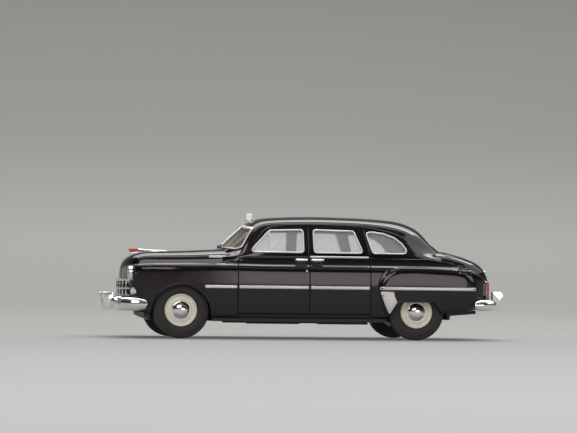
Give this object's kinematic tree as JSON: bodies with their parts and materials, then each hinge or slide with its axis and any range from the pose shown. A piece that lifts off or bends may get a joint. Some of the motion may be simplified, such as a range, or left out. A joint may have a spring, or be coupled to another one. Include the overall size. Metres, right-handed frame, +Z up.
{
  "type": "die-cast model taxi",
  "caption": "Small die-cast model of a long black six-window saloon in taxi trim, with a hollow shell, base plate, cabin fittings and wheelsets that roll on their axles.",
  "frame": {"origin": "middle of the length and width, on the ground under the tyres", "axes": "+X towards the rear bumper, +Y towards the car's right-hand side, +Z up"},
  "size_m": [0.1286, 0.045, 0.0396],
  "materials": {
    "body_paint": "gloss black enamel",
    "base_black": "satin black",
    "chrome": "bright plated",
    "satin_silver": "pale satin silver",
    "clear_glazing": "clear gloss",
    "lamp_glass": "clear fluted",
    "red_lens": "translucent red",
    "red_enamel": "gloss red",
    "lamp_white": "gloss white",
    "cabin_trim": "matt brown",
    "ivory": "gloss ivory",
    "wheel_cream": "gloss cream",
    "tyre_rubber": "matt black",
    "steel": "plain"
  },
  "bodies": {
    "car": {"body_shell": "body_paint", "windscreen": "clear_glazing", "side_glass": "clear_glazing", "rear_glass": "clear_glazing", "side_frames": "chrome", "screen_frame": "chrome", "rear_frame": "chrome", "headlamp_rims": "chrome", "headlamp_lenses": "lamp_glass", "parking_lamps": "chrome", "tail_lamps": "red_lens", "grille": "chrome", "front_bumper": "chrome", "front_guards": "chrome", "rear_bumper": "chrome", "rear_guards": "chrome", "side_mouldings": "satin_silver", "stone_guards": "satin_silver", "door_handles": "chrome", "boot_handle": "chrome", "bonnet_spear": "chrome", "bonnet_crest": "red_enamel", "bonnet_badges": "chrome", "roof_lamp_base": "chrome", "roof_lamp": "lamp_white", "interior_tub": "cabin_trim", "front_seat": "cabin_trim", "rear_seat": "cabin_trim", "dashboard": "cabin_trim", "steering_wheel": "ivory", "baseplate": "base_black"},
    "front_wheelset": {"front_axle": "steel", "front_wheel_left": "wheel_cream", "front_wheel_right": "wheel_cream", "front_tyre_left": "tyre_rubber", "front_tyre_right": "tyre_rubber", "front_cap_left": "chrome", "front_cap_right": "chrome"},
    "rear_wheelset": {"rear_axle": "steel", "rear_wheel_left": "wheel_cream", "rear_wheel_right": "wheel_cream", "rear_tyre_left": "tyre_rubber", "rear_tyre_right": "tyre_rubber", "rear_cap_left": "chrome", "rear_cap_right": "chrome"}
  },
  "joints": [
    {"name": "front_axle_spin", "type": "hinge", "parent": "car", "child": "front_wheelset", "pos_m": [-0.0405, 0, 0.0088], "axis": [0, 1, 0], "continuous": true},
    {"name": "rear_axle_spin", "type": "hinge", "parent": "car", "child": "rear_wheelset", "pos_m": [0.0339, 0, 0.0088], "axis": [0, 1, 0], "continuous": true}
  ]
}
